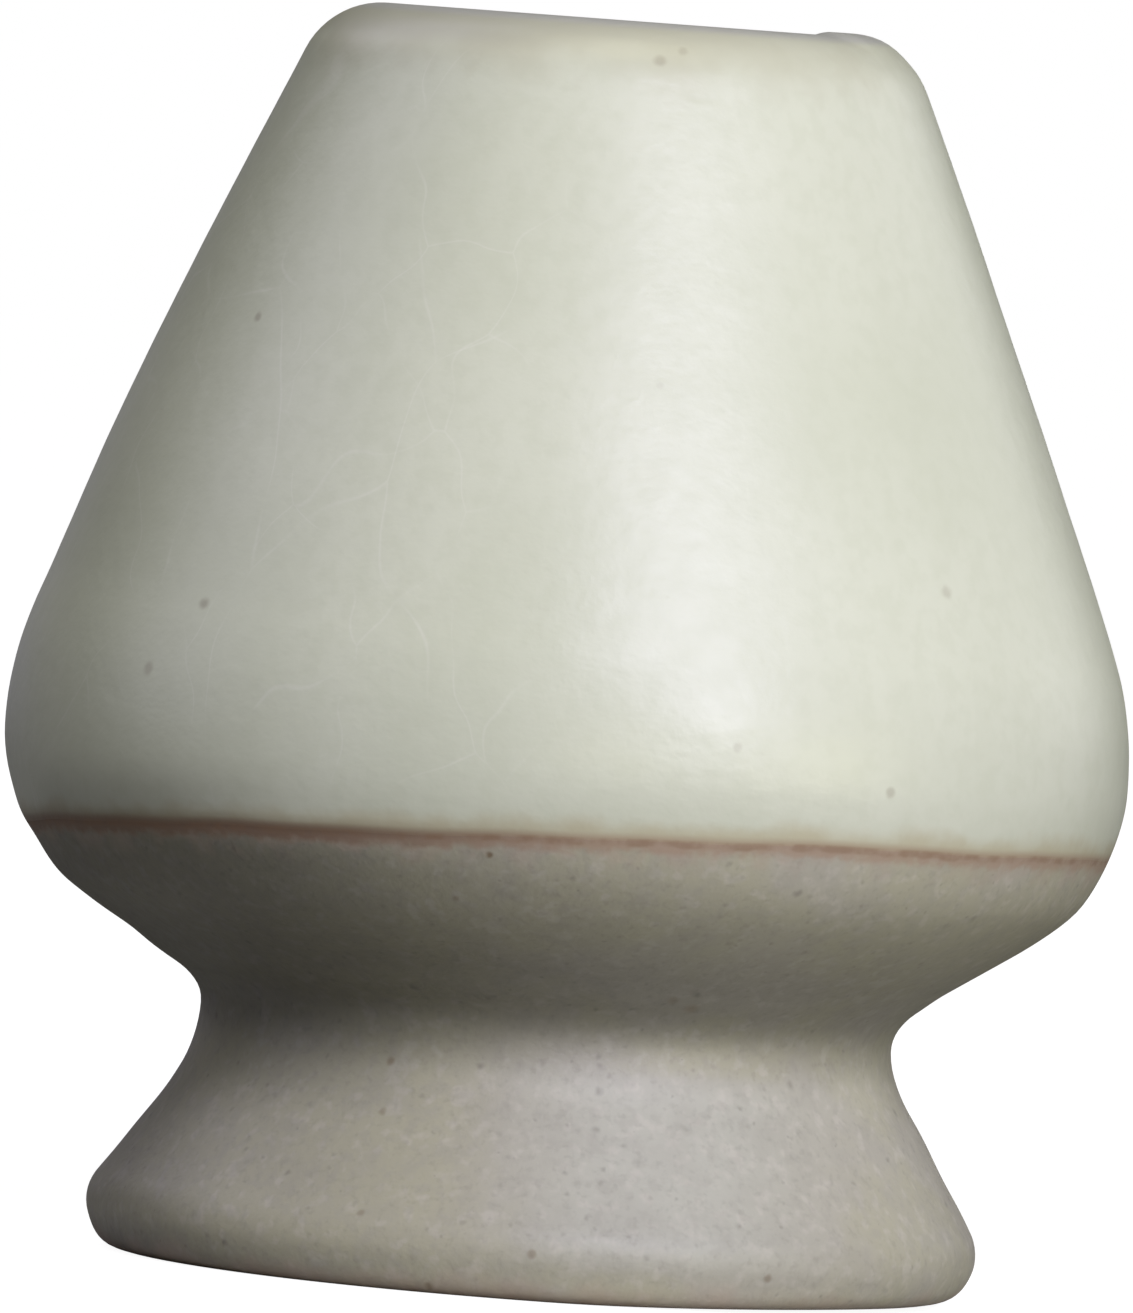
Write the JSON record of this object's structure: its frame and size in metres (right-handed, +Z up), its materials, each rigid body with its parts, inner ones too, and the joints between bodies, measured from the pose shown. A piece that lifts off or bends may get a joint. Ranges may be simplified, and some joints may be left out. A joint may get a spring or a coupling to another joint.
{
  "type": "tea whisk holder",
  "caption": "Hollow ceramic stand that dries and keeps the shape of a bamboo tea whisk: a glazed bell with an open mouth, drawn in to a waist above a flared, open, unglazed foot.",
  "frame": {"origin": "on the vertical axis, at the table plane under the foot ring", "axes": "+Z up along the axis from the foot to the mouth; -Y is the side the picture shows, with +X to its right"},
  "size_m": [0.0608, 0.0608, 0.068],
  "materials": {
    "stoneware": "bare unglazed grey-buff stoneware, fine dark iron specks, matte",
    "celadon_glaze": "pale grey-green celadon, satin, faintly crazed",
    "burnt_iron_glaze": "thin rust-brown edge where the glaze runs out"
  },
  "bodies": {
    "root": {"clay_body": "stoneware", "celadon_glaze": "celadon_glaze", "outer_iron_line": "burnt_iron_glaze", "inner_iron_line": "burnt_iron_glaze"}
  },
  "joints": []
}
